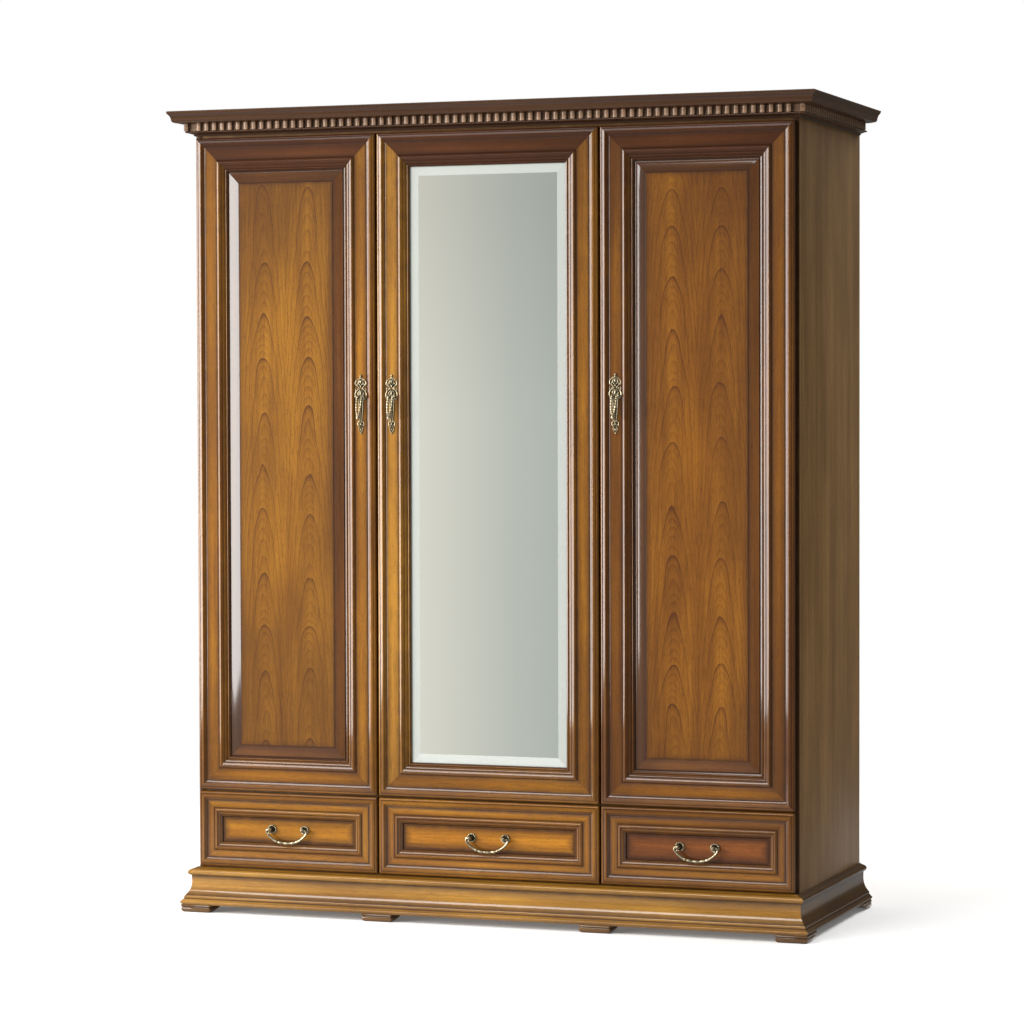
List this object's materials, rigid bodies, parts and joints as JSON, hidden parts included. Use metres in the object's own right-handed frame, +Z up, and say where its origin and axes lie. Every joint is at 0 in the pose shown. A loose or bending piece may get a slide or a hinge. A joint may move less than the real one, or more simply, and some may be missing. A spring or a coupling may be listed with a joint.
{
  "type": "wardrobe",
  "caption": "Wardrobe with framed wood and mirror doors over a row of drawers, moulded plinth on feet, dentilled cornice, and a hanging rail and shelves inside.",
  "frame": {"origin": "on the floor, under the middle of the wardrobe's footprint", "axes": "+Z up, -Y the way the doors face, +X to the right as one stands before the doors"},
  "size_m": [1.712, 0.662, 2.058],
  "materials": {
    "frame_wood": "gloss lacquered walnut-brown hardwood, darker glaze in the mouldings",
    "panel_wood": "gloss lacquered book-matched cherry veneer, golden brown",
    "moulding_wood": "gloss lacquered moulding, brown with a darker glaze",
    "side_wood": "satin lacquered straight-grained veneer",
    "inside_wood": "satin interior veneer",
    "back_board": "matt hardboard",
    "mirror_glass": "silvered glass with a bevelled edge",
    "mirror_backing": "matt dark board",
    "antique_brass": "aged cast brass, dark in the recesses and bright on the high points",
    "hinge_steel": "nickel-plated pressed steel",
    "rail_steel": "chromed tube"
  },
  "bodies": {
    "carcass": {"side_panel_left": "side_wood", "side_panel_right": "side_wood", "bottom_panel": "inside_wood", "deck_panel": "inside_wood", "top_panel": "inside_wood", "divider_panel": "inside_wood", "drawer_divider_left": "inside_wood", "drawer_divider_right": "inside_wood", "back_panel_wide": "back_board", "back_panel_narrow": "back_board", "hat_shelf": "inside_wood", "hanging_rail": "rail_steel", "shelf_1": "inside_wood", "shelf_2": "inside_wood", "shelf_3": "inside_wood", "plinth_front": "moulding_wood", "plinth_left": "moulding_wood", "plinth_right": "moulding_wood", "plinth_back_rail": "inside_wood", "cornice_front": "moulding_wood", "cornice_left": "moulding_wood", "cornice_right": "moulding_wood", "cornice_back_rail": "inside_wood", "foot_front_left_corner": "moulding_wood", "foot_front_left_inner": "moulding_wood", "foot_front_right_inner": "moulding_wood", "foot_front_right_corner": "moulding_wood", "foot_back_left": "moulding_wood", "foot_back_right": "moulding_wood", "left_door_hinge_arm_bottom": "hinge_steel", "left_door_hinge_arm_middle": "hinge_steel", "left_door_hinge_arm_top": "hinge_steel", "middle_door_hinge_arm_bottom": "hinge_steel", "middle_door_hinge_arm_middle": "hinge_steel", "middle_door_hinge_arm_top": "hinge_steel", "right_door_hinge_arm_bottom": "hinge_steel", "right_door_hinge_arm_middle": "hinge_steel", "right_door_hinge_arm_top": "hinge_steel"},
    "left_door": {"left_door_frame": "frame_wood", "left_door_panel": "panel_wood", "left_door_handle_plate": "antique_brass"},
    "left_door_pull": {"left_door_drop_pull": "antique_brass"},
    "middle_door": {"middle_door_frame": "frame_wood", "middle_door_mirror": "mirror_glass", "middle_door_mirror_backing": "mirror_backing", "middle_door_handle_plate": "antique_brass"},
    "middle_door_pull": {"middle_door_drop_pull": "antique_brass"},
    "right_door": {"right_door_frame": "frame_wood", "right_door_panel": "panel_wood", "right_door_handle_plate": "antique_brass"},
    "right_door_pull": {"right_door_drop_pull": "antique_brass"},
    "left_drawer": {"left_drawer_front": "frame_wood", "left_drawer_box": "inside_wood"},
    "left_drawer_handle": {"left_drawer_bail": "antique_brass"},
    "middle_drawer": {"middle_drawer_front": "frame_wood", "middle_drawer_box": "inside_wood"},
    "middle_drawer_handle": {"middle_drawer_bail": "antique_brass"},
    "right_drawer": {"right_drawer_front": "frame_wood", "right_drawer_box": "inside_wood"},
    "right_drawer_handle": {"right_drawer_bail": "antique_brass"}
  },
  "joints": [
    {"name": "left_door_hinge", "type": "hinge", "parent": "carcass", "child": "left_door", "pos_m": [-0.788, -0.287, 1.1525], "axis": [0, 0, -1], "range_deg": [0, 105]},
    {"name": "middle_door_hinge", "type": "hinge", "parent": "carcass", "child": "middle_door", "pos_m": [0.289, -0.287, 1.1525], "axis": [0, 0, 1], "range_deg": [0, 95]},
    {"name": "right_door_hinge", "type": "hinge", "parent": "carcass", "child": "right_door", "pos_m": [0.788, -0.287, 1.1525], "axis": [0, 0, 1], "range_deg": [0, 105]},
    {"name": "left_door_pull_pivot", "type": "hinge", "parent": "left_door", "child": "left_door_pull", "pos_m": [-0.338, -0.2958, 1.327], "axis": [-1, 0, 0], "range_deg": [0, 80]},
    {"name": "middle_door_pull_pivot", "type": "hinge", "parent": "middle_door", "child": "middle_door_pull", "pos_m": [-0.254, -0.2958, 1.327], "axis": [-1, 0, 0], "range_deg": [0, 80]},
    {"name": "right_door_pull_pivot", "type": "hinge", "parent": "right_door", "child": "right_door_pull", "pos_m": [0.338, -0.2958, 1.327], "axis": [-1, 0, 0], "range_deg": [0, 80]},
    {"name": "left_drawer_slide", "type": "slide", "parent": "carcass", "child": "left_drawer", "axis": [0, -1, 0], "range_m": [0, 0.36]},
    {"name": "middle_drawer_slide", "type": "slide", "parent": "carcass", "child": "middle_drawer", "axis": [0, -1, 0], "range_m": [0, 0.36]},
    {"name": "right_drawer_slide", "type": "slide", "parent": "carcass", "child": "right_drawer", "axis": [0, -1, 0], "range_m": [0, 0.36]},
    {"name": "left_drawer_bail_pivot", "type": "hinge", "parent": "left_drawer", "child": "left_drawer_handle", "pos_m": [-0.5455, -0.295, 0.219], "axis": [-1, 0, 0], "range_deg": [0, 85]},
    {"name": "middle_drawer_bail_pivot", "type": "hinge", "parent": "middle_drawer", "child": "middle_drawer_handle", "pos_m": [0, -0.295, 0.219], "axis": [-1, 0, 0], "range_deg": [0, 85]},
    {"name": "right_drawer_bail_pivot", "type": "hinge", "parent": "right_drawer", "child": "right_drawer_handle", "pos_m": [0.5455, -0.295, 0.219], "axis": [-1, 0, 0], "range_deg": [0, 85]}
  ]
}
